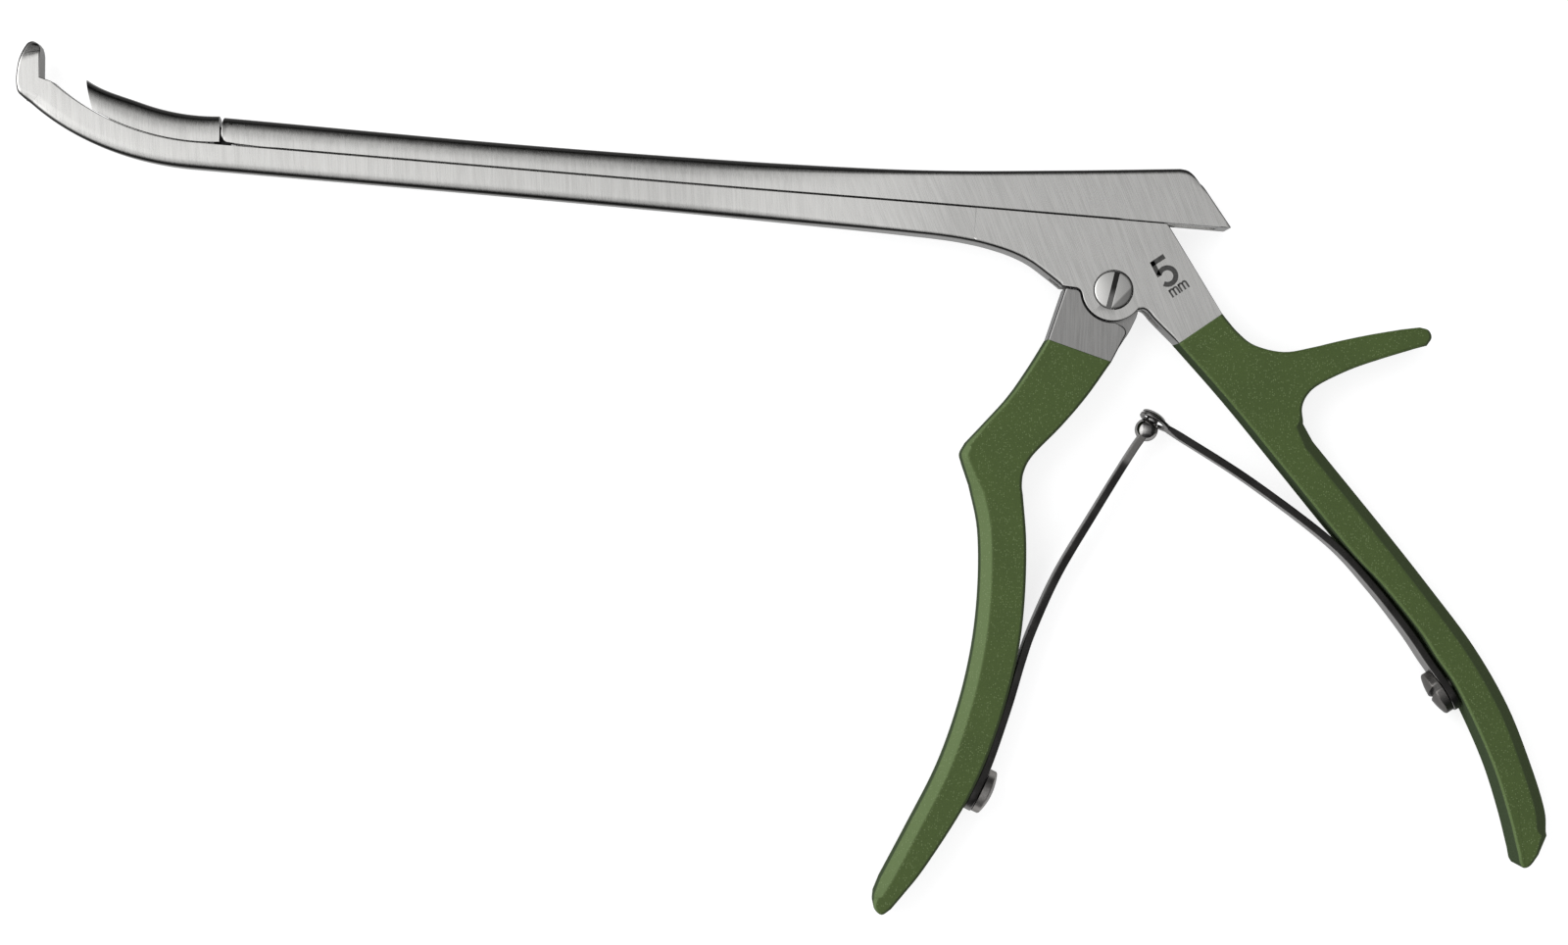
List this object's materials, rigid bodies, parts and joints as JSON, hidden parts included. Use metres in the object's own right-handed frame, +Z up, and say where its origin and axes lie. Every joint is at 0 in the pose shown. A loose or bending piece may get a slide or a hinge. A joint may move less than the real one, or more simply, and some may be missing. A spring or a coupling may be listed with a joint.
{
  "type": "bone rongeur",
  "caption": "Hand-held bone punch with a curved jaw: a sliding bar pushes a linked punch segment round the bend onto a fixed foot when the sprung, coated handles close.",
  "frame": {"origin": "on the surface the instrument lies on, below the middle of its outline", "axes": "+X along the straight shaft from the foot towards the handles, +Y from the handles towards the sliding bar, +Z up from the surface, across the flat of the instrument"},
  "size_m": [0.306, 0.1538, 0.01],
  "materials": {
    "steel": "satin, finely brushed",
    "spring_steel": "dark, drawn",
    "green_coat": "satin olive green with fine pale speckles"
  },
  "bodies": {
    "frame": {"lower_shaft_frame": "steel", "rear_grip": "green_coat", "pivot_screw": "steel", "rear_spring_screw": "steel"},
    "front_handle": {"front_lever": "steel", "front_grip": "green_coat", "front_spring_screw": "steel"},
    "slide": {"slide_bar": "steel"},
    "punch": {"punch_segment": "steel"},
    "front_leaf": {"front_leaf_spring": "spring_steel", "spring_ball": "spring_steel"},
    "rear_leaf": {"rear_leaf_spring": "spring_steel"}
  },
  "joints": [
    {"name": "handle_close", "type": "hinge", "parent": "frame", "child": "front_handle", "pos_m": [0.06091, 0.04634, 0.005], "axis": [0, 0, 1], "range_deg": [0, 37], "stiffness_Nm_per_rad": 1.5, "springref_deg": -17.19},
    {"name": "slide_travel", "type": "slide", "parent": "frame", "child": "slide", "axis": [-1, 0, 0], "range_m": [0, 0.0122]},
    {"name": "punch_swing", "type": "hinge", "parent": "frame", "child": "punch", "pos_m": [-0.11759, 0.10784, 0.005], "axis": [0, 0, -1], "range_deg": [0, 15.25]},
    {"name": "front_leaf_flex", "type": "hinge", "parent": "front_handle", "child": "front_leaf", "pos_m": [0.05041, -0.02366, 0.005], "axis": [0, 0, 1], "range_deg": [0, 11], "deforming": ["front_leaf_spring"]},
    {"name": "rear_leaf_flex", "type": "hinge", "parent": "frame", "child": "rear_leaf", "pos_m": [0.10891, -0.00006, 0.005], "axis": [0, 0, -1], "range_deg": [0, 12.4], "deforming": ["rear_leaf_spring"]}
  ],
  "couplings": [
    {"joint": "slide_travel", "follows": "handle_close", "m_per_rad": 0.018815},
    {"joint": "punch_swing", "follows": "handle_close", "ratio": 0.41081},
    {"joint": "front_leaf_flex", "follows": "handle_close", "ratio": 0.295},
    {"joint": "rear_leaf_flex", "follows": "handle_close", "ratio": 0.334}
  ]
}
